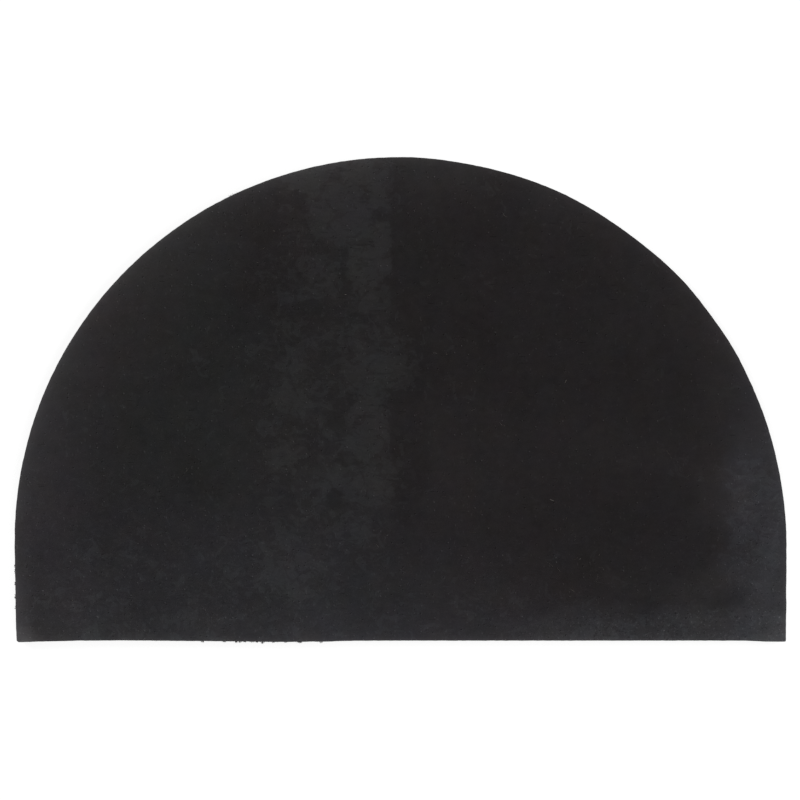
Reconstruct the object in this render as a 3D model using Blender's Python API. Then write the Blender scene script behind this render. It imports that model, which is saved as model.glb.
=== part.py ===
"""Half-round coir doormat with a vinyl backing, lying pile down.

The origin is at the middle of the mat, on the surface that it lies on. +X runs along the straight
edge, +Y points from that edge to the crown of the arch, and +Z is up, out of the backing.
"""

import math

import bmesh
import bpy
import numpy as np

# The mat as it is sold: a half circle on a low straight band.
MAT_WIDTH = 0.800
ARCH_RADIUS = MAT_WIDTH / 2
BAND_HEIGHT = 0.1015

PILE_HEIGHT = 0.0122
SEAM_GAP = 0.0003
BACKING_THICKNESS = 0.0025
BACKING_UNDERSIDE = PILE_HEIGHT + SEAM_GAP
BACKING_TOP = BACKING_UNDERSIDE + BACKING_THICKNESS

ARCH_STEP_DEGREES = 1.5
STRAIGHT_STEP = 0.010
CORNER_STEPS = 5

# The cut's corners are nearly square. The pile below them is worn rounder.
LEFT_CORNER_RADIUS = 0.0030
RIGHT_CORNER_RADIUS = 0.0010
PILE_CORNER_RADIUS = 0.0035

# How far the knife strayed outwards from the true line. Round the arch, the place is in degrees
# from its right-hand end. Down the sides it is the distance below the arch, and along the straight
# edge the distance from the middle of the mat.
ARCH_STRAY = [
    {"place": 0, "out": 0.0003},
    {"place": 12, "out": -0.0004},
    {"place": 24, "out": -0.0006},
    {"place": 30, "out": -0.0002},
    {"place": 36, "out": -0.0008},
    {"place": 42, "out": -0.0003},
    {"place": 54, "out": -0.0016},
    {"place": 66, "out": -0.0006},
    {"place": 78, "out": -0.0010},
    {"place": 90, "out": 0.0001},
    {"place": 108, "out": 0.0003},
    {"place": 120, "out": 0.0008},
    {"place": 138, "out": 0.0011},
    {"place": 156, "out": 0.0011},
    {"place": 168, "out": 0.0007},
    {"place": 180, "out": 0.0002},
]
LEFT_SIDE_STRAY = [
    {"place": 0.000, "out": 0.0002},
    {"place": 0.028, "out": -0.0002},
    {"place": 0.053, "out": -0.0006},
    {"place": 0.078, "out": -0.0011},
    {"place": 0.102, "out": -0.0020},
]
RIGHT_SIDE_STRAY = [
    {"place": 0.000, "out": 0.0003},
    {"place": 0.028, "out": 0.0004},
    {"place": 0.053, "out": -0.0001},
    {"place": 0.066, "out": 0.0003},
    {"place": 0.082, "out": -0.0002},
    {"place": 0.102, "out": -0.0003},
]
STRAIGHT_STRAY = [
    {"place": -0.400, "out": 0.0016},
    {"place": -0.363, "out": 0.0007},
    {"place": -0.332, "out": 0.0000},
    {"place": -0.285, "out": -0.0002},
    {"place": -0.208, "out": 0.0004},
    {"place": -0.176, "out": 0.0007},
    {"place": -0.130, "out": 0.0014},
    {"place": -0.083, "out": 0.0011},
    {"place": -0.052, "out": 0.0002},
    {"place": -0.021, "out": 0.0000},
    {"place": 0.353, "out": 0.0000},
    {"place": 0.384, "out": 0.0011},
    {"place": 0.400, "out": 0.0011},
]

# Each slab's side from bottom to top: the height of a ring, and how far it lies inside the outline.
# The pile is worn round at its tips and leans out a little below the backing, which is cut clean.
PILE_SIDE = [
    {"height": 0.0000, "inset": 0.0022},
    {"height": 0.0007, "inset": 0.0012},
    {"height": 0.0024, "inset": 0.0006},
    {"height": PILE_HEIGHT, "inset": 0.0011},
]
BACKING_SIDE = [
    {"height": BACKING_UNDERSIDE, "inset": 0.0002},
    {"height": BACKING_TOP - 0.0005, "inset": 0.0000},
    {"height": BACKING_TOP - 0.0001, "inset": 0.0002},
    {"height": BACKING_TOP, "inset": 0.0006},
]


def stray_at(table, place):
    """Reads a table of strays at any place, easing from each row to the next."""
    places = [row["place"] for row in table]
    outs = [row["out"] for row in table]
    row = min(max(int(np.searchsorted(places, place)) - 1, 0), len(table) - 2)
    share = (place - places[row]) / (places[row + 1] - places[row])
    share = min(max(share, 0.0), 1.0)
    eased = (1 - math.cos(math.pi * share)) / 2
    return outs[row] + (outs[row + 1] - outs[row]) * eased


def evenly(start, end, step):
    """Places from start to end, both included, about a step apart."""
    return np.linspace(start, end, max(2, round(abs(end - start) / step) + 1))


def arch():
    """Anticlockwise from the right-hand end to the left-hand end."""
    points = []
    for degrees in evenly(0, 180, ARCH_STEP_DEGREES):
        radius = ARCH_RADIUS + stray_at(ARCH_STRAY, degrees)
        angle = math.radians(degrees)
        points.append((radius * math.cos(angle), radius * math.sin(angle)))
    return points


def side(sign, table, corner_radius):
    """Down one side from the arch to where its corner begins."""
    points = []
    for down in evenly(0, BAND_HEIGHT - corner_radius, STRAIGHT_STEP):
        points.append((sign * (ARCH_RADIUS + stray_at(table, down)), -down))
    return points


def corner(side_end, edge_y, radius, sign):
    """A quarter round from the end of a side to the straight edge."""
    centre_x = side_end[0] - sign * radius
    centre_y = edge_y + radius
    points = []
    for step in range(1, CORNER_STEPS + 1):
        angle = math.radians(90 * step / CORNER_STEPS)
        points.append(
            (
                centre_x + sign * radius * math.cos(angle),
                centre_y - radius * math.sin(angle),
            )
        )
    return points


def straight_edge(start_x, end_x):
    """Left to right between the corners, without its end points."""
    points = []
    for x in evenly(start_x, end_x, STRAIGHT_STEP)[1:-1]:
        points.append((x, -BAND_HEIGHT - stray_at(STRAIGHT_STRAY, x)))
    return points


def cut_outline(left_radius, right_radius):
    """The cut with its two corners, anticlockwise seen from above, about the middle of the arch."""
    left_side = side(-1, LEFT_SIDE_STRAY, left_radius)[1:]
    right_side = side(1, RIGHT_SIDE_STRAY, right_radius)[1:]
    left_y = -BAND_HEIGHT - stray_at(STRAIGHT_STRAY, left_side[-1][0])
    right_y = -BAND_HEIGHT - stray_at(STRAIGHT_STRAY, right_side[-1][0])
    left_corner = corner(left_side[-1], left_y, left_radius, -1)
    right_corner = corner(right_side[-1], right_y, right_radius, 1)
    edge = straight_edge(left_corner[-1][0], right_corner[-1][0])
    return np.array(
        arch() + left_side + left_corner + edge + right_corner[::-1] + right_side[::-1]
    )


def inset_by(outline, distance):
    """The outline moved inwards along its own normals."""
    along = np.roll(outline, -1, axis=0) - np.roll(outline, 1, axis=0)
    along /= np.linalg.norm(along, axis=1, keepdims=True)
    inwards = np.stack([-along[:, 1], along[:, 0]], axis=1)
    return outline + distance * inwards


def make_material(name, colour, roughness):
    material = bpy.data.materials.new(name)
    material.use_nodes = True
    material.diffuse_color = (*colour, 1)
    shader = material.node_tree.nodes["Principled BSDF"]
    shader.inputs["Base Color"].default_value = (*colour, 1)
    shader.inputs["Roughness"].default_value = roughness
    shader.inputs["Metallic"].default_value = 0
    return material


def make_slab(name, outline, rings, material):
    """A flat slab on the outline, with one ring of its side for each row of the table."""
    mesh = bpy.data.meshes.new(name)
    shape = bmesh.new()
    loops = []
    for ring in rings:
        loop = []
        for x, y in inset_by(outline, ring["inset"]):
            loop.append(shape.verts.new((x, y, ring["height"])))
        loops.append(loop)
    for lower, upper in zip(loops, loops[1:]):
        for here in range(len(outline)):
            after = (here + 1) % len(outline)
            shape.faces.new((lower[here], lower[after], upper[after], upper[here]))
    shape.faces.new(loops[0][::-1])
    shape.faces.new(loops[-1])
    shape.to_mesh(mesh)
    shape.free()
    mesh.shade_smooth()
    mesh.set_sharp_from_angle(angle=math.radians(30))
    mesh.materials.append(material)
    slab = bpy.data.objects.new(name, mesh)
    bpy.context.scene.collection.objects.link(slab)
    return slab


def build():
    for thing in list(bpy.data.objects):
        bpy.data.objects.remove(thing)
    backing_cut = cut_outline(LEFT_CORNER_RADIUS, RIGHT_CORNER_RADIUS)
    pile_cut = cut_outline(PILE_CORNER_RADIUS, PILE_CORNER_RADIUS)
    middle = (backing_cut.min(axis=0) + backing_cut.max(axis=0)) / 2
    vinyl = make_material("black_vinyl", (0.018, 0.017, 0.018), 0.62)
    coir = make_material("black_coir", (0.026, 0.024, 0.022), 0.9)
    make_slab("backing", backing_cut - middle, BACKING_SIDE, vinyl)
    make_slab("coir_pile", pile_cut - middle, PILE_SIDE, coir)


build()
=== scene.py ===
"""Looks of the half-round coir doormat, lying pile down with its black vinyl backing up.

Every length is in metres, in the mat's own frame: +X along the straight edge, +Y towards the crown
of the arch, +Z up. The outline and the heights of the backing and the pile are read from the frame.
"""

import math
from typing import NamedTuple

import bpy
import numpy as np
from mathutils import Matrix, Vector
from mathutils.geometry import delaunay_2d_cdt


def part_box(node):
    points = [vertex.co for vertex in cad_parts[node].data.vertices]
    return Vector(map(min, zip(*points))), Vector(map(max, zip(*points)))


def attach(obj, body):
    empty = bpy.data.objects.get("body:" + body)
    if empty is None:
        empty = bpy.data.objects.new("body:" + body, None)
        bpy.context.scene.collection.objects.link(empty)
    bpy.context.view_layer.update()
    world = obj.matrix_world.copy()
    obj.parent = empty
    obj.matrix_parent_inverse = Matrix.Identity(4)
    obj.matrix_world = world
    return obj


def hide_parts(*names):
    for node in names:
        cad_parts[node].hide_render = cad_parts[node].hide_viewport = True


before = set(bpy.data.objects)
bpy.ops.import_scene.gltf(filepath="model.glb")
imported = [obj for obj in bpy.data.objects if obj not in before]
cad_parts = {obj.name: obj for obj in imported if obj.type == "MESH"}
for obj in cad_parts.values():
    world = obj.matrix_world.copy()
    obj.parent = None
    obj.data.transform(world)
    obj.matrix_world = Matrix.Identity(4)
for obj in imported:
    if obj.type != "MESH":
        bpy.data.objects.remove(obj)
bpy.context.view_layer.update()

BODY = "root"
BACKING_LOW, BACKING_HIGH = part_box("backing")
UNDERSIDE = BACKING_LOW.z
TOP = BACKING_HIGH.z
MAT_WIDTH = BACKING_HIGH.x - BACKING_LOW.x
ARCH_MIDDLE_Y = BACKING_HIGH.y - MAT_WIDTH / 2
BOX_CORNERS = ((BACKING_LOW.x, BACKING_LOW.y), (BACKING_HIGH.x, BACKING_LOW.y))

MM = 0.001

# How finely the pieces are meshed.
RIM_STEP = 1.6 * MM
FACE_STEP = 3.4 * MM
UNDERSIDE_STEP = 14.0 * MM
BED_STEP = 5.0 * MM

# The backing's top edge is cut a little round. Each ring of it is this far inside the cut, and this
# far below the face.
CUT_ROUND = (
    (0.0040, 0.00000),
    (0.0020, 0.00000),
    (0.0010, 0.00002),
    (0.0005, 0.00010),
    (0.0002, 0.00026),
    (0.0000, 0.00055),
)
CUT_WANDER = 0.07 * MM

# How high the backing's waves are and how wide, and the corner that curls up.
BROAD_WAVE = 0.22 * MM
BROAD_WAVE_SIZE = 0.11
FINE_WAVE = 0.09 * MM
FINE_WAVE_SIZE = 0.035
CURL = 0.8 * MM
CURL_REACH = 0.026

# The pile's felted bed, which lies under the backing and is lowest round its rim.
BED_FLOOR = 5.2 * MM
BED_SKIRT = 1.6 * MM
BED_INSET = 1.9 * MM

# Bristles stand out of the bed down to the floor. Round the rim they are whole, this many to each
# square millimetre. Inside it only their ends are built, this far apart.
OUTER_START = 0.25 * MM
OUTER_BAND = 0.95 * MM
OUTER_DENSITY = 6.8
RIM_BAND = 7.0 * MM
INNER_DENSITY = 0.95
ROOT_HEIGHT = UNDERSIDE + 0.1 * MM
FACE_INSET = 2.4 * MM
FACE_SPACING = 1.60 * MM
FACE_ROOT_HEIGHT = BED_FLOOR + 1.2 * MM
FACE_PIECES = 4
TAPER = 0.25

# The fibre ends that show past the cut lie at these heights. Loose bits lie on the backing.
FRAY_ROOT_HEIGHTS = (10.6 * MM, 12.1 * MM)
FRAY_TIP_HEIGHTS = (10.2 * MM, 12.3 * MM)
STRAYS = 150


class Cloud(NamedTuple):
    """A soft patch on the backing: its middle, half its width and depth, and how soft its edge is."""

    x: float
    y: float
    wide: float
    deep: float
    lift: float
    soft: float = 0.5


# Grey levels, out of 255, that the backing shows, and the soft patches that lift or lower them.
GROUND_LEVEL = 32.0
HAZE_AND_CORNER_LIGHT = [
    # The left-hand third, and the low left where dust has settled.
    Cloud(-0.26, -0.032, wide=0.156, deep=0.207, lift=3.5),
    Cloud(-0.27, -0.209, wide=0.197, deep=0.078, lift=3.6, soft=0.7),
    Cloud(-0.35, -0.212, wide=0.045, deep=0.04, lift=6.5, soft=0.8),
    Cloud(-0.365, -0.07, wide=0.05, deep=0.12, lift=3.0, soft=0.6),
    Cloud(-0.372, -0.105, wide=0.022, deep=0.022, lift=2.2, soft=0.8),
    Cloud(-0.368, -0.178, wide=0.014, deep=0.02, lift=-2.4, soft=0.8),
    Cloud(-0.304, -0.182, wide=0.04, deep=0.024, lift=-1.9, soft=0.8),
    Cloud(-0.183, -0.231, wide=0.062, deep=0.019, lift=2.0, soft=0.6),
    Cloud(-0.115, -0.178, wide=0.037, deep=0.033, lift=0.9, soft=0.6),
    Cloud(-0.083, -0.229, wide=0.034, deep=0.022, lift=4.2, soft=0.7),
    Cloud(-0.083, -0.167, wide=0.022, deep=0.02, lift=1.6, soft=0.8),
    Cloud(-0.10, -0.246, wide=0.29, deep=0.02, lift=1.8, soft=0.7),
    Cloud(-0.244, 0.134, wide=0.062, deep=0.052, lift=1.5, soft=0.7),
    Cloud(-0.215, 0.092, wide=0.06, deep=0.04, lift=-1.8, soft=0.8),
    Cloud(-0.211, 0.025, wide=0.023, deep=0.013, lift=-2.0, soft=0.6),
    Cloud(-0.22, -0.03, wide=0.05, deep=0.04, lift=-1.3, soft=0.8),
    Cloud(-0.204, -0.08, wide=0.026, deep=0.019, lift=-2.0, soft=0.6),
    Cloud(-0.27, -0.125, wide=0.06, deep=0.035, lift=-2.0, soft=0.8),
    Cloud(-0.151, 0.158, wide=0.033, deep=0.044, lift=-1.5, soft=0.6),
    Cloud(-0.109, 0.015, wide=0.02, deep=0.032, lift=0.6, soft=0.8),
    Cloud(-0.134, 0.106, wide=0.036, deep=0.026, lift=-2.9, soft=0.7),
    Cloud(-0.128, -0.025, wide=0.026, deep=0.11, lift=-1.5, soft=0.7),
    # The pale band down the middle, and the dark streaks to the right of it.
    Cloud(-0.057, 0.051, wide=0.062, deep=0.207, lift=0.7),
    Cloud(-0.07, 0.236, wide=0.055, deep=0.023, lift=0.4, soft=0.6),
    Cloud(-0.04, 0.15, wide=0.02, deep=0.024, lift=1.4, soft=0.8),
    Cloud(-0.045, 0.06, wide=0.04, deep=0.036, lift=1.8, soft=0.8),
    Cloud(-0.06, -0.12, wide=0.06, deep=0.045, lift=1.0, soft=0.7),
    Cloud(-0.082, 0.083, wide=0.036, deep=0.008, lift=-1.6, soft=0.8),
    Cloud(-0.068, -0.105, wide=0.008, deep=0.01, lift=-2.5, soft=0.6),
    Cloud(0.016, 0.025, wide=0.009, deep=0.025, lift=-2.0, soft=0.4),
    Cloud(0.009, -0.072, wide=0.018, deep=0.05, lift=-3.2),
    Cloud(0.025, -0.038, wide=0.03, deep=0.022, lift=1.8, soft=0.8),
    # The dark right-hand side.
    Cloud(0.17, 0.06, wide=0.14, deep=0.11, lift=-1.1, soft=0.7),
    Cloud(0.078, 0.078, wide=0.022, deep=0.016, lift=-2.5, soft=0.8),
    Cloud(0.27, 0.00, wide=0.048, deep=0.04, lift=-1.6, soft=0.8),
    Cloud(0.16, 0.205, wide=0.035, deep=0.022, lift=1.8, soft=0.8),
    Cloud(0.04, 0.235, wide=0.035, deep=0.022, lift=3.0, soft=0.8),
    Cloud(0.045, 0.205, wide=0.035, deep=0.022, lift=2.0, soft=0.8),
    Cloud(0.00, 0.236, wide=0.014, deep=0.014, lift=-2.4, soft=0.8),
    Cloud(0.022, 0.082, wide=0.034, deep=0.016, lift=-1.2, soft=0.8),
    Cloud(0.226, -0.146, wide=0.127, deep=0.071, lift=-3.0),
    Cloud(0.235, -0.118, wide=0.044, deep=0.034, lift=-1.0, soft=0.6),
    Cloud(0.249, -0.218, wide=0.022, deep=0.009, lift=-4.5, soft=0.7),
    Cloud(0.34, -0.215, wide=0.018, deep=0.01, lift=-5.5, soft=0.7),
    Cloud(0.353, -0.197, wide=0.012, deep=0.012, lift=-4.5, soft=0.8),
    Cloud(0.25, -0.196, wide=0.08, deep=0.014, lift=2.0, soft=0.7),
    Cloud(0.165, -0.21, wide=0.035, deep=0.03, lift=-2.0, soft=0.8),
    Cloud(0.271, -0.063, wide=0.057, deep=0.012, lift=1.0, soft=0.6),
    Cloud(0.06, -0.13, wide=0.33, deep=0.11, lift=2.2),
    Cloud(0.053, -0.072, wide=0.022, deep=0.06, lift=1.0, soft=0.7),
    # Paler towards the straight edge and the right-hand side.
    Cloud(0.041, -0.214, wide=0.124, deep=0.044, lift=4.2, soft=0.7),
    Cloud(0.27, -0.24, wide=0.145, deep=0.027, lift=6.0, soft=0.20),
    Cloud(0.373, -0.238, wide=0.047, deep=0.023, lift=4.0, soft=0.6),
    Cloud(0.342, -0.205, wide=0.052, deep=0.032, lift=5.5, soft=0.7),
    Cloud(0.371, -0.12, wide=0.034, deep=0.098, lift=7.6, soft=0.38),
    Cloud(0.388, -0.19, wide=0.02, deep=0.065, lift=3.5, soft=0.6),
    Cloud(0.374, -0.104, wide=0.016, deep=0.016, lift=2.2, soft=0.8),
    Cloud(0.374, -0.136, wide=0.016, deep=0.016, lift=-2.0, soft=0.8),
    Cloud(0.378, -0.201, wide=0.014, deep=0.01, lift=3.5, soft=0.8),
    Cloud(0.394, -0.234, wide=0.008, deep=0.013, lift=4.5, soft=0.8),
    Cloud(0.334, -0.184, wide=0.012, deep=0.01, lift=3.5, soft=0.8),
    Cloud(0.332, -0.098, wide=0.026, deep=0.03, lift=5.5, soft=0.6),
    Cloud(0.348, -0.001, wide=0.031, deep=0.073, lift=1.5, soft=0.6),
    # Painted light: the corners catch more light.
    Cloud(-0.40, -0.252, wide=0.018, deep=0.018, lift=20.0, soft=0.9),
    Cloud(-0.40, -0.232, wide=0.016, deep=0.034, lift=11.0, soft=0.9),
    Cloud(0.40, -0.252, wide=0.014, deep=0.014, lift=9.0, soft=0.9),
]

# How far red and blue stand above green, in grey levels, and where they differ from that.
RED_OVER = 1.3
BLUE_OVER = 0.7
RED_ZONES = [
    Cloud(-0.06, 0.22, wide=0.06, deep=0.04, lift=0.8, soft=0.6),
    Cloud(-0.285, 0.072, wide=0.045, deep=0.06, lift=1.6, soft=0.7),
    Cloud(0.042, 0.208, wide=0.045, deep=0.03, lift=0.8, soft=0.7),
    Cloud(0.175, -0.19, wide=0.06, deep=0.03, lift=0.6, soft=0.7),
    Cloud(0.28, -0.242, wide=0.14, deep=0.024, lift=-0.8, soft=0.6),
    Cloud(-0.368, -0.14, wide=0.032, deep=0.09, lift=1.2, soft=0.7),
    Cloud(0.18, -0.01, wide=0.185, deep=0.26, lift=1.6, soft=0.35),
    Cloud(-0.125, 0.17, wide=0.04, deep=0.07, lift=1.0, soft=0.6),
    Cloud(-0.225, 0.01, wide=0.07, deep=0.12, lift=-1.1),
    Cloud(-0.05, -0.22, wide=0.36, deep=0.06, lift=-0.6, soft=0.7),
    Cloud(0.378, -0.11, wide=0.035, deep=0.13, lift=-0.6, soft=0.6),
]
BLUE_ZONES = [
    Cloud(-0.05, 0.195, wide=0.03, deep=0.02, lift=1.0, soft=0.7),
    Cloud(0.288, -0.15, wide=0.04, deep=0.05, lift=0.7, soft=0.7),
    Cloud(-0.368, -0.13, wide=0.032, deep=0.09, lift=0.8, soft=0.7),
    Cloud(0.18, 0.00, wide=0.18, deep=0.24, lift=0.3),
    Cloud(-0.17, -0.19, wide=0.24, deep=0.08, lift=1.6, soft=0.6),
    Cloud(0.16, -0.245, wide=0.24, deep=0.032, lift=1.5, soft=0.6),
    Cloud(0.375, -0.12, wide=0.036, deep=0.13, lift=2.5),
    Cloud(-0.35, -0.02, wide=0.05, deep=0.11, lift=0.8, soft=0.7),
    Cloud(-0.225, 0.02, wide=0.06, deep=0.12, lift=-0.5, soft=0.6),
]

# Where the face is grittier than elsewhere.
GRIT_ZONES = [
    Cloud(0.30, -0.243, wide=0.15, deep=0.024, lift=0.6, soft=0.2),
    Cloud(0.375, -0.16, wide=0.03, deep=0.10, lift=0.3, soft=0.6),
]

# Where pale skin flakes cover the backing. A lift of 1 covers it all, and a lower one a share.
FLAKES = [
    Cloud(-0.064, 0.23, wide=0.061, deep=0.022, lift=0.9, soft=0.25),
    Cloud(-0.052, 0.188, wide=0.046, deep=0.026, lift=0.9, soft=0.25),
    Cloud(-0.033, 0.146, wide=0.026, deep=0.034, lift=0.9, soft=0.35),
    Cloud(-0.041, 0.104, wide=0.022, deep=0.024, lift=0.72, soft=0.6),
    Cloud(-0.079, 0.123, wide=0.022, deep=0.026, lift=0.65, soft=0.6),
    Cloud(-0.111, 0.078, wide=0.017, deep=0.012, lift=0.6, soft=0.6),
    Cloud(-0.022, 0.039, wide=0.042, deep=0.04, lift=0.75, soft=0.5),
    Cloud(-0.109, 0.015, wide=0.026, deep=0.038, lift=0.7, soft=0.6),
    Cloud(-0.032, -0.03, wide=0.026, deep=0.039, lift=0.85, soft=0.4),
    Cloud(-0.123, -0.063, wide=0.024, deep=0.027, lift=0.65, soft=0.6),
    Cloud(-0.05, -0.088, wide=0.049, deep=0.024, lift=0.75, soft=0.55),
    Cloud(-0.042, -0.132, wide=0.018, deep=0.026, lift=0.65, soft=0.6),
    Cloud(-0.115, -0.178, wide=0.04, deep=0.036, lift=0.75, soft=0.8),
    Cloud(-0.07, -0.01, wide=0.08, deep=0.225, lift=0.4, soft=0.3),
    Cloud(-0.23, -0.20, wide=0.19, deep=0.075, lift=0.32, soft=0.7),
    Cloud(0.06, -0.225, wide=0.13, deep=0.034, lift=0.25, soft=0.7),
    Cloud(0.28, -0.242, wide=0.14, deep=0.022, lift=0.45, soft=0.4),
    Cloud(0.368, -0.12, wide=0.028, deep=0.075, lift=0.6, soft=0.5),
]

# The pale band's right-hand edge is nearly straight, as a roller leaves it. The skin fades there from
# one place along X to the other, between two places along Y but for a stretch that stays ragged.
BAND_MIDDLE_X = -0.05
BAND_SKIN_X = -0.011
BAND_NO_SKIN_X = -0.0065
BAND_EDGE_Y = (-0.062, 0.205)
BAND_RAGGED_Y = (0.008, 0.066)

# Where the skin has come away again. A lift of 1 takes all of it.
GAPS = [
    Cloud(-0.003, 0.206, wide=0.012, deep=0.011, lift=0.9),
    Cloud(-0.021, 0.187, wide=0.015, deep=0.007, lift=0.8, soft=0.4),
    Cloud(-0.092, 0.153, wide=0.026, deep=0.005, lift=0.7),
    Cloud(-0.057, 0.112, wide=0.007, deep=0.012, lift=0.6),
    Cloud(-0.082, 0.095, wide=0.024, deep=0.006, lift=0.7),
    Cloud(-0.082, 0.082, wide=0.036, deep=0.007, lift=0.6),
    Cloud(-0.078, 0.045, wide=0.018, deep=0.022, lift=0.4, soft=0.6),
    Cloud(-0.068, -0.105, wide=0.009, deep=0.01, lift=0.9),
]


class Fray(NamedTuple):
    """A stretch of the cut where fibre ends show: how many, how far out they reach, how thick."""

    start: float
    end: float
    count: int
    reach: float
    radius: float = 0.13 * MM


def tufts(places, half, reach):
    """A small tuft of thicker ends at each of some places along the cut."""
    return [Fray(place - half, place + half, 16, reach, 0.24 * MM) for place in places]


# Along the straight edge a place is its distance from the middle of the mat. Round the rest of the
# cut it is in degrees about the middle of the arch, from the right-hand end.
FRAYED_STRAIGHT = [
    Fray(start=-0.385, end=0.385, count=150, reach=0.35 * MM),
    Fray(start=-0.272, end=-0.052, count=190, reach=0.9 * MM),
    Fray(start=-0.175, end=-0.115, count=50, reach=1.3 * MM),
    Fray(start=-0.1450, end=-0.1425, count=16, reach=3.0 * MM, radius=0.22 * MM),
    Fray(start=0.255, end=0.292, count=22, reach=0.7 * MM),
    *tufts((-0.208, -0.172, -0.168, -0.104, -0.083), 1.4 * MM, 2.2 * MM),
    *tufts((-0.185, -0.163, -0.155, -0.150, -0.132, -0.120, -0.107), 1.2 * MM, 1.6 * MM),
]
FRAYED_ROUND = [
    Fray(start=-14.0, end=194.0, count=260, reach=0.30 * MM),
    Fray(start=180.0, end=193.0, count=40, reach=0.5 * MM),
    Fray(start=114.9, end=116.4, count=14, reach=2.4 * MM, radius=0.16 * MM),
    *tufts((183.4, 184.2, 186.0, 188.0, 189.4), 0.20, 2.0 * MM),
    Fray(start=98.0, end=140.0, count=40, reach=0.6 * MM),
]


class Lint(NamedTuple):
    """A bit of fibre on the backing: its middle, length, the way it points, shade and thickness."""

    x: float
    y: float
    length: float
    degrees: float
    shade: float = 0.98
    thick: float = 1.0


LINT = [
    # The longer bits, on the dark right-hand side.
    Lint(0.157, -0.104, length=4.5 * MM, degrees=-20, shade=0.99, thick=1.3),
    Lint(0.181, -0.143, length=8.0 * MM, degrees=85, thick=0.40),
    Lint(0.155, -0.171, length=9.0 * MM, degrees=-42, thick=0.26),
    Lint(0.164, -0.176, length=5.0 * MM, degrees=-48, thick=0.55),
    Lint(0.208, -0.174, length=5.0 * MM, degrees=-5, thick=0.28),
    Lint(0.204, -0.186, length=11.0 * MM, degrees=82, thick=0.28),
    Lint(0.178, -0.198, length=6.0 * MM, degrees=-32, thick=0.42),
    Lint(0.171, 0.019, length=4.0 * MM, degrees=70),
    # Short ends that show as pale dots.
    Lint(0.172, -0.123, length=2.5 * MM, degrees=90, shade=0.94),
    Lint(0.206, -0.161, length=1.8 * MM, degrees=60, thick=1.15),
    Lint(0.186, -0.165, length=2.4 * MM, degrees=45, thick=0.75),
    Lint(-0.057, 0.109, length=1.8 * MM, degrees=20, shade=1.0),
    Lint(-0.131, 0.175, length=1.8 * MM, degrees=0),
    Lint(-0.121, 0.170, length=1.6 * MM, degrees=90, thick=1.2),
    Lint(-0.148, 0.142, length=1.7 * MM, degrees=30, thick=1.25),
    Lint(0.048, 0.047, length=1.7 * MM, degrees=10, thick=1.2),
    Lint(-0.116, -0.174, length=2.2 * MM, degrees=-30, shade=0.97),
    Lint(-0.340, -0.208, length=2.2 * MM, degrees=80, shade=0.97),
    Lint(0.360, -0.096, length=2.4 * MM, degrees=10, thick=0.4),
]


def smoothstep(low, high, value):
    share = np.clip((value - low) / (high - low), 0.0, 1.0)
    return share * share * (3 - 2 * share)


def within(values, limits):
    return (values > limits[0]) & (values < limits[1])


def rolling(x, y, size, seed):
    """Smooth noise from -1 to 1, with hills about one size across."""
    heights = np.random.default_rng(seed).uniform(-1, 1, (64, 64))
    column, row = x / size + 20, y / size + 20
    left, low = np.floor(column).astype(int), np.floor(row).astype(int)
    across, up = smoothstep(0, 1, column - left), smoothstep(0, 1, row - low)
    left, low, right, high = left % 64, low % 64, (left + 1) % 64, (low + 1) % 64
    below = heights[low, left] * (1 - across) + heights[low, right] * across
    above = heights[high, left] * (1 - across) + heights[high, right] * across
    return below * (1 - up) + above * up


def patch(x, y, cloud):
    """How much of a cloud lies at each place, from 0 to 1. Its shape is between an oval and a box."""
    bulge = 2.8
    apart = np.abs((x - cloud.x) / cloud.wide) ** bulge + np.abs((y - cloud.y) / cloud.deep) ** bulge
    return 1 - smoothstep(1 - cloud.soft, 1 + cloud.soft, apart ** (1 / bulge))


def lifts(x, y, clouds):
    """What some clouds together add at each place."""
    return sum(cloud.lift * patch(x, y, cloud) for cloud in clouds)


def cad_outline():
    """The cut as the frame has it: the widest ring of the backing's side, anticlockwise."""
    points = np.array([v.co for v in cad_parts["backing"].data.vertices])
    points = np.unique(np.round(points, 6), axis=0)
    heights, counts = np.unique(np.round(points[:, 2], 5), return_counts=True)
    rings = [points[np.abs(points[:, 2] - h) < 1e-5] for h in heights[counts > counts.max() / 2]]
    widest = max(rings, key=lambda ring: np.ptp(ring[:, 0]))[:, :2]
    return widest[np.argsort(np.arctan2(widest[:, 1] - ARCH_MIDDLE_Y, widest[:, 0]))]


def evenly_along(outline, step):
    """The closed outline again, with points about one step apart, one of them on each lower corner."""
    closed = np.vstack([outline, outline[:1]])
    lengths = np.linalg.norm(np.diff(closed, axis=0), axis=1)
    along = np.concatenate([[0], np.cumsum(lengths)])
    places = np.linspace(0, along[-1], round(along[-1] / step), endpoint=False)
    for corner in BOX_CORNERS:
        corner_place = along[np.argmin(np.linalg.norm(outline - corner, axis=1))]
        places[np.argmin(np.abs(places - corner_place))] = corner_place
    return np.stack([np.interp(places, along, closed[:, axis]) for axis in (0, 1)], axis=1)


def unit(vectors):
    return vectors / np.linalg.norm(vectors, axis=1, keepdims=True)


def quarter_turn(directions):
    """Level directions turned a quarter turn anticlockwise."""
    return np.stack([-directions[:, 1], directions[:, 0]], axis=1)


def outward_of(outline):
    """The outward direction at each point of a closed anticlockwise outline."""
    return -quarter_turn(unit(np.roll(outline, -1, axis=0) - np.roll(outline, 1, axis=0)))


OUTLINE = evenly_along(cad_outline(), RIM_STEP)
OUTWARD = outward_of(OUTLINE)
FROM_CORNER = np.min([np.linalg.norm(OUTLINE - corner, axis=1) for corner in BOX_CORNERS], axis=0)


def inwards(loop, distance):
    """A loop round the cut moved inwards, by less near a corner, where it would fold over itself."""
    room = 0.6 * MM + 0.625 * FROM_CORNER
    return loop - OUTWARD * (distance / np.hypot(1, distance / room))[:, None]


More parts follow.
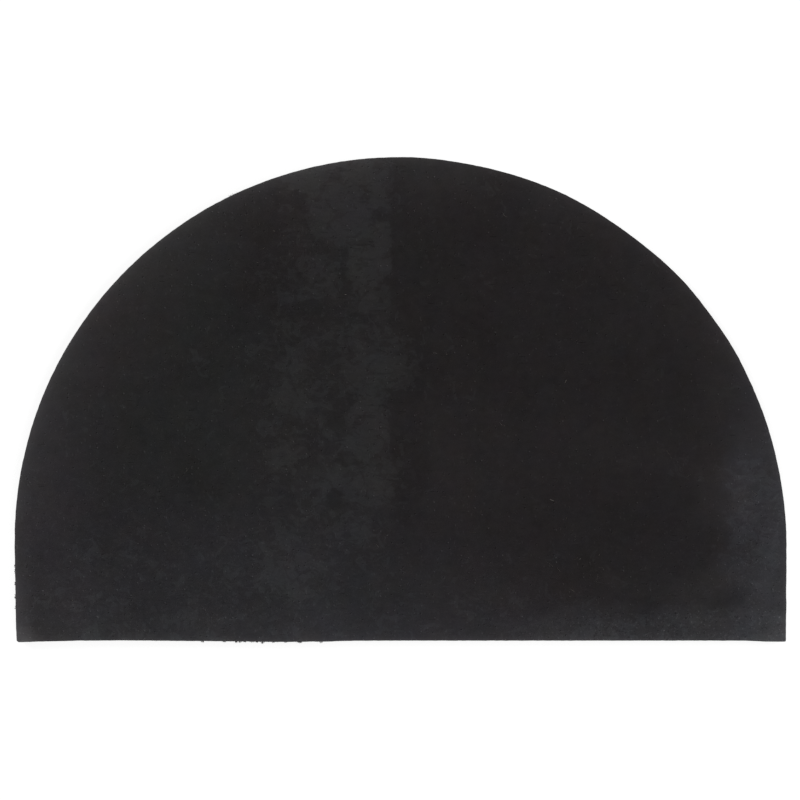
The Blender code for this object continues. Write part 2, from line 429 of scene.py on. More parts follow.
def on_rim(places):
    """Points of the cut and their outward directions. A place counts the outline's points."""
    before = np.floor(places).astype(int) % len(OUTLINE)
    after = (before + 1) % len(OUTLINE)
    share = (places - np.floor(places))[:, None]
    points = OUTLINE[before] * (1 - share) + OUTLINE[after] * share
    return points, unit(OUTWARD[before] * (1 - share) + OUTWARD[after] * share)


def from_rim(points):
    """How far each point is from the nearest point of the outline."""
    nearest = np.empty(len(points))
    batch = 4000
    for start in range(0, len(points), batch):
        some = points[start : start + batch, None, :] - OUTLINE[None]
        nearest[start : start + batch] = np.sqrt((some**2).sum(axis=2).min(axis=1))
    return nearest


def inside(points, loop):
    """Which points lie inside a closed loop, by how often a ray along +X crosses it."""
    crossings = np.zeros(len(points), int)
    for (x1, y1), (x2, y2) in zip(loop, np.roll(loop, -1, axis=0)):
        if y1 == y2:
            continue
        spans = (points[:, 1] > min(y1, y2)) & (points[:, 1] <= max(y1, y2))
        at_x = x1 + (points[:, 1] - y1) * (x2 - x1) / (y2 - y1)
        crossings += spans & (at_x > points[:, 0])
    return crossings % 2 == 1


def scattered(loop, step, jitter, rng):
    """Points about one step apart inside a closed loop, each moved by up to jitter of a step."""
    low, high = loop.min(axis=0), loop.max(axis=0)
    columns = np.arange(low[0], high[0], step)
    rows = np.arange(low[1], high[1], step * math.sqrt(3) / 2)
    grid = np.stack(np.meshgrid(columns, rows), axis=2)
    grid[1::2, :, 0] += step / 2
    grid = grid.reshape(-1, 2)
    grid += rng.uniform(-jitter, jitter, grid.shape) * step
    return grid[inside(grid, loop)]


def rise(x, y):
    """The gentle waves of the backing, and the corner that curls up a little."""
    curl = CURL * np.exp(-((x - BACKING_LOW.x) ** 2 + (y - BACKING_LOW.y) ** 2) / CURL_REACH**2)
    broad = BROAD_WAVE * rolling(x, y, BROAD_WAVE_SIZE, 1)
    return curl + broad + FINE_WAVE * rolling(x, y, FINE_WAVE_SIZE, 2)


def lifted(points):
    """Points of the mat moved up with the backing's waves: all the way at its top, less below."""
    moved = points.copy()
    moved[:, 2] += rise(points[:, 0], points[:, 1]) * np.clip(points[:, 2] / UNDERSIDE, 0, 1)
    return moved


def new_object(name, data):
    thing = bpy.data.objects.new(name, data)
    bpy.context.scene.collection.objects.link(thing)
    return thing


def mesh_piece(name, points, triangles, material, corners=None):
    """A smooth piece that rides on the mat, from arrays of points, triangles and their map corners."""
    mesh = bpy.data.meshes.new(name)
    mesh.vertices.add(len(points))
    mesh.vertices.foreach_set("co", lifted(points).astype(np.float32).ravel())
    mesh.loops.add(3 * len(triangles))
    mesh.loops.foreach_set("vertex_index", np.asarray(triangles, np.int32).ravel())
    mesh.polygons.add(len(triangles))
    mesh.polygons.foreach_set("loop_start", np.arange(0, 3 * len(triangles), 3, dtype=np.int32))
    mesh.polygons.foreach_set("use_smooth", np.full(len(triangles), True))
    if corners is not None:
        mesh.uv_layers.new(name="OFBake").data.foreach_set("uv", corners.astype(np.float32).ravel())
    mesh.update(calc_edges=True)
    mesh.validate()
    mesh.materials.append(material)
    piece = new_object(name, mesh)
    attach(piece, BODY)
    return piece


def give(piece, name, values):
    """Stores one number for each point of a piece, for its material to read."""
    attribute = piece.data.attributes.new(name, "FLOAT", "POINT")
    attribute.data.foreach_set("value", np.asarray(values, np.float32))


def fill(loop, step, seed):
    """Fills a closed loop with triangles about one step across. Returns all points, the loop's first."""
    grid = scattered(loop, step, 0.2, np.random.default_rng(seed))
    grid = grid[from_rim(grid) > from_rim(loop).mean() + 0.7 * step]
    vectors = [Vector(point) for point in np.vstack([loop, grid])]
    made, _, faces, *_ = delaunay_2d_cdt(vectors, [], [list(range(len(loop)))], 1, 1e-7)
    return np.array([tuple(v) for v in made]), np.array(faces)


def slab(edge, rings, top_step, bottom_step):
    """A closed slab from rings of its side, top to bottom, each an inset and a height.

    Returns its points, its triangles and how far each point is inside the cut.
    """
    loops = [inwards(edge, inset) for inset, _ in rings]
    top, top_triangles = fill(loops[0], top_step, seed=11)
    bottom, bottom_triangles = fill(loops[-1], bottom_step, seed=12)
    layers = [top, *loops[1:-1], bottom]
    heights = np.repeat([height for _, height in rings], [len(layer) for layer in layers])
    points = np.column_stack([np.vstack(layers), heights])

    triangles = [top_triangles]
    here = np.arange(len(edge))
    after = np.roll(here, -1)
    above = 0
    for layer in layers[:-1]:
        below = above + len(layer)
        triangles.append(np.column_stack([above + here, below + here, below + after]))
        triangles.append(np.column_stack([above + here, below + after, above + after]))
        above = below
    triangles.append(bottom_triangles[:, ::-1] + above)
    return points, np.vstack(triangles), from_rim(points[:, :2])


class Nodes:
    """Builds a material's node tree, one call for each node."""

    def __init__(self, name):
        self.material = bpy.data.materials.new(name)
        self.material.use_nodes = True
        self.tree = self.material.node_tree
        self.shader = self.tree.nodes["Principled BSDF"]

    def join(self, source, target):
        if isinstance(source, (int, float, tuple)):
            target.default_value = source
        else:
            self.tree.links.new(source, target)

    def add(self, kind, output, settings=None, **inputs):
        node = self.tree.nodes.new(kind)
        for key, value in (settings or {}).items():
            setattr(node, key, value)
        for key, value in inputs.items():
            self.join(value, node.inputs[key.replace("_", " ")])
        return node.outputs[output]

    def place(self, stretch=(1, 1, 1), shift=(0, 0, 0), turn=0.0):
        """Where a point is on the piece, in metres, turned, stretched and shifted for a pattern."""
        place = self.add("ShaderNodeTexCoord", "Object")
        turned = (0, 0, math.radians(turn))
        return self.add(
            "ShaderNodeMapping", "Vector", Vector=place, Scale=stretch, Location=shift, Rotation=turned
        )

    def attribute(self, name):
        return self.add("ShaderNodeAttribute", "Fac", {"attribute_name": name})

    def math(self, operation, *values):
        node = self.tree.nodes.new("ShaderNodeMath")
        node.operation = operation
        for value, socket in zip(values, node.inputs):
            self.join(value, socket)
        return node.outputs[0]

    def total(self, *values):
        result = values[0]
        for value in values[1:]:
            result = self.math("ADD", result, value)
        return result

    def times(self, value, factor):
        return self.math("MULTIPLY", value, factor)

    def swing(self, value, spread):
        """Takes a value from 0..1 to a spread that lies evenly about 0."""
        return self.math("MULTIPLY_ADD", value, spread, -spread / 2)

    def noise(self, scale, detail=4.0, roughness=0.55, distortion=0.0, **placing):
        return self.add(
            "ShaderNodeTexNoise",
            "Fac",
            Vector=self.place(**placing),
            Scale=scale,
            Detail=detail,
            Roughness=roughness,
            Distortion=distortion,
        )

    def ramp(self, value, low, high, start=0.0, end=1.0):
        """Takes value from low..high to start..end, and no further."""
        node = self.tree.nodes.new("ShaderNodeMapRange")
        for source, socket in zip((value, low, high, start, end), node.inputs):
            self.join(source, socket)
        return node.outputs[0]

    def dots(self, spacing, radius, share, **placing):
        """Round dots, one at most for each square of the spacing, on a share of the squares."""
        cells = self.tree.nodes.new("ShaderNodeTexVoronoi")
        cells.voronoi_dimensions = "2D"
        self.join(self.place(**placing), cells.inputs["Vector"])
        cells.inputs["Scale"].default_value = 1 / spacing
        dot = self.ramp(cells.outputs["Distance"], radius / spacing, 0.6 * radius / spacing)
        colour = self.tree.nodes.new("ShaderNodeSeparateColor")
        self.join(cells.outputs["Color"], colour.inputs[0])
        chosen = self.math("LESS_THAN", colour.outputs[0], share)
        strength = self.ramp(colour.outputs[1], 0.0, 1.0, 0.35, 1.0)
        return self.times(self.times(dot, chosen), strength)

    def surface(self, colour, roughness, specular):
        self.join(colour, self.shader.inputs["Base Color"])
        self.join(roughness, self.shader.inputs["Roughness"])
        self.shader.inputs["Specular IOR Level"].default_value = specular

    def bump(self, height):
        """Bump from a height in millimetres."""
        bump = self.add("ShaderNodeBump", "Normal", Height=height, Distance=MM, Strength=1.0)
        self.join(bump, self.shader.inputs["Normal"])


# How the studio light turns a surface's colour into the grey that shows: what it is multiplied by,
# and the gloss that is added. A grey level follows a curve with an offset and a power, and red and
# blue have these weights in it.
LIGHT_GAIN = 0.83
GLOSS = 0.0048
LEAST_SHOWN = 0.0005
CURVE_OFFSET = 0.055
CURVE_POWER = 2.4
RED_WEIGHT = 0.3
BLUE_WEIGHT = 0.11


def channel_from_level(nodes, level):
    """How much of one colour a surface holds, for it to show as this level out of 255."""
    offset = nodes.math("ADD", nodes.math("DIVIDE", level, 255.0), CURVE_OFFSET)
    shown = nodes.math("POWER", nodes.math("DIVIDE", offset, 1 + CURVE_OFFSET), CURVE_POWER)
    held = nodes.math("MAXIMUM", nodes.math("SUBTRACT", shown, GLOSS), LEAST_SHOWN)
    return nodes.math("DIVIDE", held, LIGHT_GAIN)


def colour_from_level(nodes, level, red_over, blue_over):
    """The colour that shows as this grey level, with red and blue standing that far above green."""
    green = nodes.total(level, nodes.times(red_over, -RED_WEIGHT), nodes.times(blue_over, -BLUE_WEIGHT))
    return nodes.add(
        "ShaderNodeCombineColor",
        "Color",
        Red=channel_from_level(nodes, nodes.math("ADD", green, red_over)),
        Green=channel_from_level(nodes, green),
        Blue=channel_from_level(nodes, nodes.math("ADD", green, blue_over)),
    )


# The height of the torn noise above which skin is kept, with no cover and with full cover.
NONE_COVERED = 0.66
ALL_COVERED = 0.38


def flake_layer(nodes, cover, torn, softness=0.03):
    """1 on the flakes and 0 between them. The higher the cover, the more of the surface they take."""
    threshold = nodes.math("MULTIPLY_ADD", cover, ALL_COVERED - NONE_COVERED, NONE_COVERED)
    return nodes.ramp(nodes.math("SUBTRACT", torn, threshold), -softness / 2, softness / 2)


def vinyl_material():
    nodes = Nodes("black_vinyl")
    tone, cover, grit = nodes.attribute("tone"), nodes.attribute("cover"), nodes.attribute("grit")
    face = nodes.attribute("face")

    # Pale skin on the vinyl in three layers, torn into flakes with ragged edges.
    slant = {"turn": 38.0, "stretch": (0.6, 1.3, 1), "shift": (0.5, 0.2, 0)}
    other_slant = {"turn": -25.0, "stretch": (0.7, 1.2, 1), "shift": (0.8, 0.4, 0)}
    wide = flake_layer(nodes, cover, nodes.noise(60.0, 4.0, 0.54, 1.3), 0.012)
    slanting = flake_layer(nodes, cover, nodes.noise(105.0, 5.0, 0.56, 0.9, **slant), 0.02)
    small = flake_layer(nodes, cover, nodes.noise(190.0, 4.0, 0.56, 0.6, **other_slant), 0.03)
    torn = nodes.noise(170.0, 3.0, 0.5, 0.2, stretch=(0.30, 1.2, 1), shift=(0.1, 0.9, 0))
    tears = nodes.times(nodes.ramp(torn, 0.63, 0.66), nodes.ramp(cover, 0.6, 0.8))

    mottle = nodes.noise(120.0, 5.0, 0.6, shift=(0.3, 0.1, 0))
    drift = nodes.noise(46.0, 3.0, 0.5, shift=(0.6, 0.3, 0))
    grain = nodes.noise(900.0, 2.0, 0.6)
    speckle = nodes.noise(340.0, 2.0, 0.5, shift=(0.2, 0.7, 0))
    streaks = nodes.noise(420.0, 3.0, 0.6, stretch=(0.16, 1, 1))

    def marks(spacing, radius, chance, per_grit, **placing):
        """Dots on the face alone. The chance of one rises with the grit."""
        share = nodes.times(face, nodes.math("MULTIPLY_ADD", grit, per_grit, chance))
        return nodes.dots(spacing * MM, radius * MM, share, **placing)

    # Raised specks are painted glints and dust, each with a painted shadow beside it. Pits are dents with
    # painted shade in them, and a pale lip beside each that is a painted highlight.
    glint_specks = marks(7.0, 0.75, 0.03, 0.20)
    shades = marks(7.0, 0.80, 0.03, 0.20, shift=(1.1 * MM, 0.7 * MM, 0))
    fine_glint_specks = marks(3.4, 0.55, 0.01, 0.14, shift=(0.4, 0.2, 0))
    dashes = marks(4.4, 0.60, 0.04, 0.30, shift=(0.6, 0.3, 0), stretch=(1, 0.34, 1))
    pits = marks(6.0, 0.8, 0.05, 0.24, shift=(0.13, 0.37, 0))
    pit_highlights = marks(6.0, 0.7, 0.05, 0.24, shift=(0.13 - 0.9 * MM, 0.37 + 0.8 * MM, 0))
    nicks = marks(5.0, 0.7, 0.06, 0.12, shift=(0.2, 0.5, 0), stretch=(0.16, 1, 1))

    # What each of them adds to the grey level.
    rough_grit = nodes.times(grit, grit)
    level = nodes.total(
        tone,
        nodes.times(wide, 4.2),
        nodes.times(slanting, 2.2),
        nodes.times(small, 1.6),
        nodes.times(tears, -5.0),
        nodes.swing(mottle, 9.0),
        nodes.swing(drift, 6.0),
        nodes.times(nodes.swing(grain, 12.0), nodes.ramp(grit, 0, 1, 0.6, 1.3)),
        nodes.swing(streaks, 3.0),
        # Painted glints and dust, and the painted shadows beside them.
        nodes.times(glint_specks, 24.0),
        nodes.times(shades, -7.0),
        nodes.times(fine_glint_specks, 13.0),
        nodes.times(dashes, 11.0),
        # Painted shade in the pits and painted highlights on their lips.
        nodes.times(pits, -13.0),
        nodes.times(pit_highlights, 11.0),
        nodes.times(nicks, -8.0),
        nodes.times(nodes.ramp(speckle, 0.62, 0.70, 0.0, 15.0), rough_grit),
        nodes.times(nodes.ramp(speckle, 0.38, 0.31, 0.0, -11.0), rough_grit),
    )
    red_over = nodes.total(
        nodes.attribute("red_over"),
        nodes.swing(nodes.noise(38.0, 3.0, 0.5, shift=(0.7, 0.9, 0)), 4.6),
        nodes.times(wide, -0.8),
    )
    blue_over = nodes.total(
        nodes.attribute("blue_over"),
        nodes.swing(nodes.noise(44.0, 3.0, 0.5, shift=(0.2, 0.4, 0)), 5.0),
    )
    rough = nodes.total(
        nodes.ramp(wide, 0, 1, 0.55, 0.61),
        nodes.ramp(slanting, 0, 1, 0.0, 0.05),
        nodes.swing(mottle, 0.16),
    )
    nodes.surface(colour_from_level(nodes, level, red_over, blue_over), rough, 0.22)
    nodes.bump(
        nodes.total(
            nodes.times(wide, 0.03),
            nodes.times(slanting, 0.03),
            nodes.times(mottle, 0.10),
            nodes.times(grain, 0.05),
            nodes.times(pits, -0.30),
            nodes.times(nicks, -0.12),
            nodes.times(glint_specks, 0.12),
        )
    )
    return nodes.material


def backing_fields(x, y, inset):
    """Tone, share of flakes, grittiness and tint at each place on the backing, by name."""
    # Places are first pushed about, so that the patches' edges wander, most of all those of flakes.
    aside_x = x + 5.0 * MM * rolling(x, y, 0.021, 21) + 2.5 * MM * rolling(x, y, 0.009, 22)
    aside_y = y + 5.0 * MM * rolling(x, y, 0.021, 23) + 2.5 * MM * rolling(x, y, 0.009, 24)
    ragged_x = aside_x + 2.5 * MM * rolling(x, y, 0.009, 27) + 1.8 * MM * rolling(x, y, 0.005, 28)
    ragged_y = aside_y + 2.5 * MM * rolling(x, y, 0.009, 29) + 1.8 * MM * rolling(x, y, 0.005, 30)

    tone = GROUND_LEVEL + lifts(aside_x, aside_y, HAZE_AND_CORNER_LIGHT)
    # Painted light at the rim: it is paler, in a thin line, a soft one and a wide fade, most so on the
    # left.
    to_left = smoothstep(0.15, -0.10, x) * smoothstep(-0.22, -0.10, y)
    to_front = smoothstep(-0.13, -0.21, y)
    for lift, reach in (
        (4 + 6 * to_front, 2.5 * MM),
        (6 + 6 * to_left, 5.0 * MM),
        (9 + 5.5 * to_left, (23 + 12 * to_left) * MM),
    ):
        tone += lift * np.exp(-inset / reach)
    tone += 0.8 * rolling(x, y, 0.045, 3) + 0.7 * rolling(x, y, 0.018, 4)

    wobble = 1.5 * MM * rolling(x, y, 0.020, 25) + 0.8 * MM * rolling(x, y, 0.008, 26)
    at_edge = (x > BAND_MIDDLE_X) & within(y, BAND_EDGE_Y) & ~within(y, BAND_RAGGED_Y)
    kept = np.where(at_edge, smoothstep(BAND_NO_SKIN_X, BAND_SKIN_X, x + wobble), 1.0)
    cover = np.zeros(len(x))
    for cloud in FLAKES:
        cover = np.maximum(cover, cloud.lift * patch(ragged_x, ragged_y, cloud))
    for cloud in GAPS:
        cover *= 1 - cloud.lift * patch(ragged_x, ragged_y, cloud)
    cover = cover * kept + 0.10 * rolling(x, y, 0.03, 5)

    grit = 0.25 + 0.25 * smoothstep(0.0, -0.25, y) + 0.15 * smoothstep(0.1, -0.2, x)
    grit += lifts(x, y, GRIT_ZONES)

    return {
        "tone": tone,
        "cover": cover,
        "grit": np.clip(grit, 0, 1),
        "face": smoothstep(0.4 * MM, 1.0 * MM, inset),
        "red_over": RED_OVER + lifts(aside_x, aside_y, RED_ZONES),
        "blue_over": BLUE_OVER + lifts(aside_x, aside_y, BLUE_ZONES),
    }


def backing_sheet():
    """The vinyl: a closed sheet with a clean cut edge, a finely meshed face and gentle waves."""
    rng = np.random.default_rng(7)
    wander = CUT_WANDER * rng.normal(size=len(OUTLINE))
    wander = (wander + np.roll(wander, 1) + np.roll(wander, -1)) / 2
    rings = [(inset, TOP - drop) for inset, drop in CUT_ROUND]
    rings += [(0.1 * MM, UNDERSIDE + 0.2 * MM), (0.4 * MM, UNDERSIDE)]
    points, triangles, inset = slab(OUTLINE + OUTWARD * wander[:, None], rings, FACE_STEP, UNDERSIDE_STEP)
    piece = mesh_piece("backing_sheet", points, triangles, vinyl_material())
    for name, values in backing_fields(points[:, 0], points[:, 1], inset).items():
        give(piece, name, values)
    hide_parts("backing")
    return piece


def fibre_colours(nodes, shade):
    """Black-dyed coir for most shades, then brown where the dye took badly, then a few pale ones."""
    node = nodes.tree.nodes.new("ShaderNodeValToRGB")
    nodes.join(shade, node.inputs[0])
    stops = [
        (0.00, (0.011, 0.010, 0.010)),
        (0.70, (0.024, 0.021, 0.019)),
        (0.80, (0.040, 0.028, 0.020)),
        (0.93, (0.070, 0.053, 0.040)),
        (0.97, (0.125, 0.108, 0.092)),
        (1.00, (0.200, 0.188, 0.172)),
    ]
    ramp = node.color_ramp
    for _ in range(len(stops) - len(ramp.elements)):
        ramp.elements.new(0.5)
    for element, (position, colour) in zip(ramp.elements, stops):
        element.position = position
        element.color = (*colour, 1)
    return node.outputs[0]


def fibre_material(name):
    """Coir fibres. Each has its own shade, is mottled along its length and dusty at its tip."""
    nodes = Nodes(name)
    mottle = nodes.noise(900.0, 2.0, 0.5)
    shade = nodes.total(nodes.attribute("shade"), nodes.swing(mottle, 0.10))
    dusty = nodes.ramp(nodes.attribute("along"), 0.55, 1.0, 0.0, 0.16)
    clean, dust = fibre_colours(nodes, shade), (0.16, 0.15, 0.14, 1)
    colour = nodes.add("ShaderNodeMixRGB", "Color", Fac=dusty, Color1=clean, Color2=dust)
    nodes.surface(colour, nodes.ramp(mottle, 0.3, 0.7, 0.62, 0.82), 0.35)
    nodes.bump(nodes.times(nodes.noise(2600.0, 2.0, 0.6), 0.04))
    return nodes.material


def bed_material():
    """The felted foot of the pile: crossing dark fibres with a few brown ones."""
    nodes = Nodes("coir_bed")
    one_way = nodes.noise(650.0, 4.0, 0.6, 0.6, turn=25.0, stretch=(0.2, 1, 1))
    other_way = nodes.noise(650.0, 4.0, 0.6, 0.6, turn=-50.0, stretch=(0.2, 1, 1), shift=(0.4, 0.1, 0))
    felt = nodes.math("MAXIMUM", one_way, other_way)
    colour = fibre_colours(nodes, nodes.ramp(felt, 0.45, 0.80, 0.0, 0.95))
    nodes.surface(colour, nodes.ramp(felt, 0.4, 0.7, 0.92, 0.78), 0.25)
    nodes.bump(nodes.times(felt, 1.6))
    return nodes.material


def pile_bed():
    """The foot of the pile, which fills the space between the bristles' roots, lowest round its rim."""
    rings = [
        (BED_INSET, UNDERSIDE - 0.05 * MM),
        (BED_INSET - 0.2 * MM, (UNDERSIDE + BED_SKIRT) / 2),
        (BED_INSET + 0.6 * MM, BED_SKIRT),
    ]
    points, triangles, inset = slab(OUTLINE, rings, UNDERSIDE_STEP, BED_STEP)
    x, y = points[:, 0], points[:, 1]
    hollow = (BED_FLOOR - BED_SKIRT) * smoothstep(3 * MM, 10 * MM, inset)
    lumps = 0.4 * MM * rolling(x, y, 0.006, 31) + 0.4 * MM * rolling(x, y, 0.017, 32)
    points[:, 2] += np.where(points[:, 2] <= BED_SKIRT, hollow + lumps, 0.0)
    piece = mesh_piece("pile_bed", points, triangles, bed_material())
    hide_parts("coir_pile")
    return piece


# Where a fibre lies in its own cell of the map for baking: from here along it, for this share of the
# cell, with its three corners and its point at these places across it.
MAP_START = 0.12
MAP_LENGTH = 0.76
MAP_CORNERS = (0.2, 0.5, 0.8)
MAP_POINT = 0.5


class Bristles(NamedTuple):
    """Many fibres: where they start and end, how far they bow aside halfway, and how thick they are."""

    roots: np.ndarray
    tips: np.ndarray
    bows: np.ndarray
    radii: np.ndarray


def fibre_piece(name, fibres, rings, material, rng, shades=None, closed=False):
    """Three-sided fibres in one mesh, each with rings at some shares of its length and then a point.

    A root that shows is closed. On the map for baking, each fibre has a cell of its own, and all
    of its sides share it.
    """
    count = len(fibres.roots)
    joints = len(rings) - 1
    reach = fibres.tips - fibres.roots
    ahead = unit(reach)
    side = unit(np.cross(ahead, rng.normal(size=(count, 3))))
    other = np.cross(ahead, side)
    layers, shares, heights = [], [], []
    for share in rings:
        middle = fibres.roots + reach * share + fibres.bows * 4 * share * (1 - share)
        radius = (fibres.radii * (1 - TAPER * share))[:, None]
        for corner in range(3):
            turn = math.radians(120 * corner)
            layers.append(middle + (side * math.cos(turn) + other * math.sin(turn)) * radius)
            shares.append(share)
            heights.append(MAP_CORNERS[corner])
    layers.append(fibres.tips)
    shares.append(1.0)
    heights.append(MAP_POINT)

    faces = []
    for joint in range(joints):
        for corner in range(3):
            here, after = 3 * joint + corner, 3 * joint + (corner + 1) % 3
            faces += [(here, after, after + 3), (here, after + 3, here + 3)]
    for corner in range(3):
        faces.append((3 * joints + corner, 3 * joints + (corner + 1) % 3, 3 * joints + 3))
    if closed:
        faces.append((0, 2, 1))

    each = len(layers)
    points = np.stack(layers, axis=1).reshape(-1, 3)
    triangles = (np.arange(count)[:, None, None] * each + np.array(faces)[None]).reshape(-1, 3)
    cells = math.ceil(math.sqrt(count))
    cell = np.stack([np.arange(count) % cells, np.arange(count) // cells], axis=1)
    spot = np.stack([MAP_START + MAP_LENGTH * np.array(shares), heights], axis=1)[np.array(faces)]
    corners = (cell[:, None, None, :] + spot[None]) / cells
    piece = mesh_piece(name, points, triangles, material, corners)
    give(piece, "shade", np.repeat(rng.uniform(0, 1, count) if shades is None else shades, each))
    give(piece, "along", np.tile(shares, count))
    return piece


def combed(x, y):
    """How far the pile is brushed aside at each place, along X and along Y."""
    sway_x = 0.9 * MM * rolling(x, y, 0.032, 41) + 0.6 * MM * rolling(x, y, 0.0045, 42)
    sway_y = 0.9 * MM * rolling(x, y, 0.032, 43) + 0.6 * MM * rolling(x, y, 0.0045, 44)
    return np.stack([sway_x, sway_y], axis=1)


def rim_bristles(rng, start, end, density, nearest, furthest):
    """Whole bristles along part of the cut, between two distances inside it."""
    length = RIM_STEP * (end - start)
    count = round(density * length * (furthest - nearest) / MM**2)
    places = rng.uniform(start, end, count)
    inset = rng.uniform(nearest, furthest, count)
    edge, outward = on_rim(places)
    root = edge - outward * inset[:, None]
    lean_out = np.minimum(rng.normal(0.0, 0.45 * MM, count), inset - 0.15 * MM)
    lean_along = rng.normal(0.0, 0.5 * MM, count)
    tip = root + outward * lean_out[:, None] + quarter_turn(outward) * lean_along[:, None]
    tip += combed(root[:, 0], root[:, 1]) * smoothstep(0.0, 3.0 * MM, inset)[:, None]
    bows = np.column_stack([rng.normal(0, 0.22 * MM, (count, 2)), np.zeros(count)])
    return Bristles(
        np.column_stack([root, np.full(count, ROOT_HEIGHT)]),
        np.column_stack([tip, np.abs(rng.normal(0.0, 0.22 * MM, count))]),
        bows,
        rng.uniform(0.15 * MM, 0.26 * MM, count),
    )


def together(*parts):
    return Bristles(*(np.concatenate(columns) for columns in zip(*parts)))


def face_bristles(rng, spacing):
    """The ends of the bristles inside the rim's band, from within the bed down to the floor."""
    root = scattered(inwards(OUTLINE, FACE_INSET), spacing, 0.42, rng)
    count = len(root)
    tip = root + combed(root[:, 0], root[:, 1]) + rng.normal(0.0, 0.35 * MM, (count, 2))
    return Bristles(
        np.column_stack([root, np.full(count, FACE_ROOT_HEIGHT)]),
        np.column_stack([tip, np.abs(rng.normal(0.0, 0.4 * MM, count))]),
        np.zeros((count, 3)),
        rng.uniform(0.30 * MM, 0.50 * MM, count),
    )


def frayed_ends(rng):
    """Fibre ends that leave the pile sideways, just under the backing, and show past the cut."""
    angles = np.unwrap(np.arctan2(OUTLINE[:, 1] - ARCH_MIDDLE_Y, OUTLINE[:, 0]))
    stretches = []
    for fray in FRAYED_STRAIGHT:
        x = rng.uniform(fray.start, fray.end, fray.count)
        stretches.append((np.arctan2(BACKING_LOW.y - ARCH_MIDDLE_Y, x), fray))
    for fray in FRAYED_ROUND:
        stretches.append((np.radians(rng.uniform(fray.start, fray.end, fray.count)), fray))
    parts = []
    for angle, fray in stretches:
        turned = angles[0] + (angle - angles[0]) % (2 * math.pi)
        edge, outward = on_rim(np.interp(turned, angles, np.arange(len(angles))))
        count = fray.count
        along = quarter_turn(outward)
        reach = fray.reach * rng.uniform(0.35, 1.0, count)
        root = edge - outward * rng.uniform(1.5 * MM, 3.0 * MM, count)[:, None]
        tip = edge + outward * reach[:, None] + along * rng.normal(0.0, 0.5 * MM, count)[:, None]
        bow = along * rng.normal(0.0, 0.4 * MM, count)[:, None]
        parts.append(
            Bristles(
                np.column_stack([root, rng.uniform(*FRAY_ROOT_HEIGHTS, count)]),
                np.column_stack([tip, rng.uniform(*FRAY_TIP_HEIGHTS, count)]),
                np.column_stack([bow, rng.normal(0.0, 0.2 * MM, count)]),
                rng.uniform(0.77, 1.23, count) * fray.radius,
            )
        )
    return together(*parts)


def lying(middle, angle, half, height, bend, radii):
    """Fibres that lie on the backing, each with half its length either side of its middle."""
    ahead = np.stack([np.cos(angle), np.sin(angle)], axis=1)
    bow = quarter_turn(ahead) * bend[:, None] * half
    return Bristles(
        np.column_stack([middle - ahead * half, height]),
        np.column_stack([middle + ahead * half, height]),
        np.column_stack([bow, np.full(len(bow), 0.05 * MM)]),
        radii,
    )


def lint(rng):
    """The bits of fibre on the backing that are seen best, each in its own place, and their shades."""
    count = len(LINT)
    bits = lying(
        np.array([(bit.x, bit.y) for bit in LINT]),
        np.radians([bit.degrees for bit in LINT]),
        np.array([bit.length for bit in LINT])[:, None] / 2,
        np.full((count, 1), TOP + 0.10 * MM),
        rng.normal(0.0, 0.12, count),
        rng.uniform(0.17 * MM, 0.25 * MM, count) * np.array([bit.thick for bit in LINT]),
    )
    return bits, np.array([bit.shade for bit in LINT])


def stray_fibres(rng, count):
    """Loose bits of fibre that lie anywhere on the backing."""
    middle = scattered(inwards(OUTLINE, 9 * MM), 6.0 * MM, 0.5, rng)
    return lying(
        middle[rng.permutation(len(middle))[:count]],
        rng.uniform(0, math.pi, count),
        rng.uniform(1.2 * MM, 4.0 * MM, count)[:, None],
        TOP + rng.uniform(0.02 * MM, 0.10 * MM, (count, 1)),
        rng.normal(0.0, 0.25, count),
        rng.uniform(0.06 * MM, 0.12 * MM, count),
    )


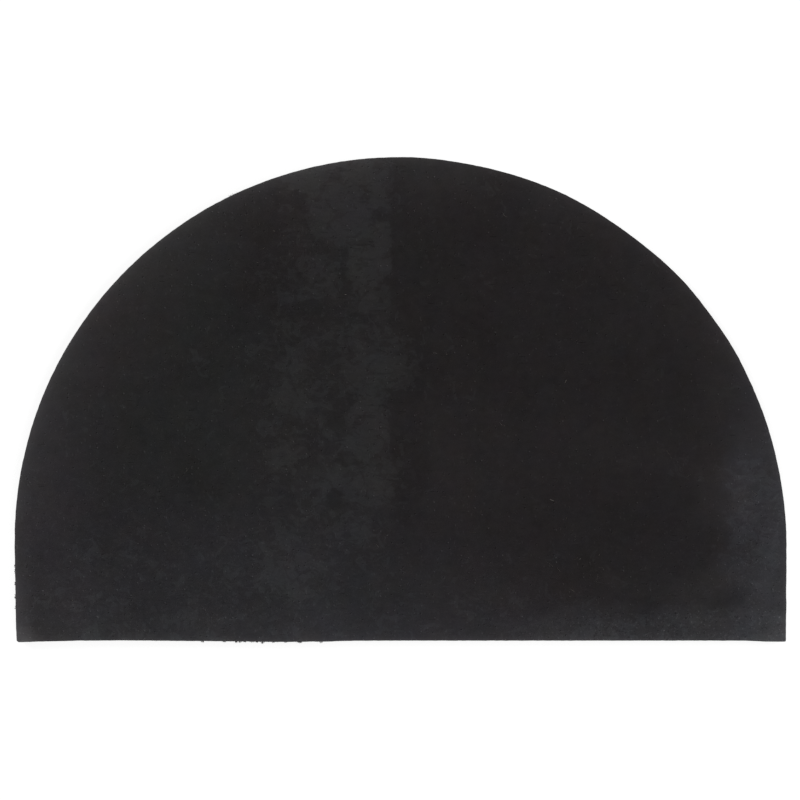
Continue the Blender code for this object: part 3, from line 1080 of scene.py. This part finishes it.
def coir_pile():
    """Everything below the backing, and the bits of fibre on it."""
    rng = np.random.default_rng(5)
    material = fibre_material("coir_fibre")
    pieces = []
    points = len(OUTLINE)
    for number, (start, end) in enumerate(((0, points / 2), (points / 2, points)), 1):
        outer = rim_bristles(rng, start, end, OUTER_DENSITY, OUTER_START, OUTER_BAND)
        inner = rim_bristles(rng, start, end, INNER_DENSITY, OUTER_BAND, RIM_BAND)
        whole = together(outer, inner)
        pieces.append(fibre_piece(f"rim_bristles_{number}", whole, (0.0, 0.5, 0.975), material, rng))

    face = face_bristles(rng, FACE_SPACING)
    cuts = np.quantile(face.roots[:, 0], np.arange(1, FACE_PIECES) / FACE_PIECES)
    column = np.searchsorted(cuts, face.roots[:, 0])
    for number in range(FACE_PIECES):
        some = Bristles(*(part[column == number] for part in face))
        pieces.append(fibre_piece(f"face_bristles_{number + 1}", some, (0.0,), material, rng))

    ends = frayed_ends(rng)
    pieces.append(fibre_piece("frayed_ends", ends, (0.0, 0.3, 0.6, 0.85), material, rng, closed=True))
    bits, bit_shades = lint(rng)
    strays = together(bits, stray_fibres(rng, STRAYS))
    shades = np.concatenate([bit_shades, rng.uniform(0.55, 1.0, STRAYS)])
    rings = (0.0, 0.25, 0.5, 0.75, 0.93)
    pieces.append(fibre_piece("stray_fibres", strays, rings, material, rng, shades, closed=True))
    return pieces


def studio():
    """Camera straight above, a pale floor and soft light from all round."""
    camera = new_object("camera", bpy.data.cameras.new("camera"))
    camera.data.lens = 100
    camera.data.sensor_width = 36
    view_width = 0.8294
    camera.location = (-0.0006, -0.0004, TOP + view_width * camera.data.lens / camera.data.sensor_width)
    scene = bpy.context.scene
    scene.camera = camera

    floor_nodes = Nodes("pale_floor")
    floor_nodes.surface((0.4, 0.4, 0.4, 1), 0.9, 0.1)
    floor_nodes.shader.inputs["Emission Color"].default_value = (1, 1, 1, 1)
    floor_nodes.shader.inputs["Emission Strength"].default_value = 0.82
    half = 6.0
    corners = [(-half, -half, 0), (half, -half, 0), (half, half, 0), (-half, half, 0)]
    floor_mesh = bpy.data.meshes.new("floor")
    floor_mesh.from_pydata(corners, [], [(0, 1, 2, 3)])
    floor_mesh.materials.append(floor_nodes.material)
    floor = new_object("floor", floor_mesh)

    for name, place, power, size in (
        ("key", (-1.9, 1.5, 1.9), 31.0, 1.6),
        ("fill", (2.0, 0.4, 1.8), 21.0, 1.8),
        ("front", (0.3, -2.1, 1.7), 21.0, 1.8),
    ):
        light = new_object(name, bpy.data.lights.new(name, "AREA"))
        light.data.shape = "DISK"
        light.data.size = size
        light.data.energy = power
        light.location = place
        light.rotation_euler = (-Vector(place)).to_track_quat("-Z", "Y").to_euler()

    world = bpy.data.worlds.new("studio")
    world.use_nodes = True
    background = world.node_tree.nodes["Background"].inputs
    background["Color"].default_value = (1, 1, 1, 1)
    background["Strength"].default_value = 0.13
    scene.world = world
    scene.view_settings.view_transform = "Standard"
    scene.view_settings.look = "None"


studio()
backing = backing_sheet()
bed = pile_bed()
fibres = coir_pile()
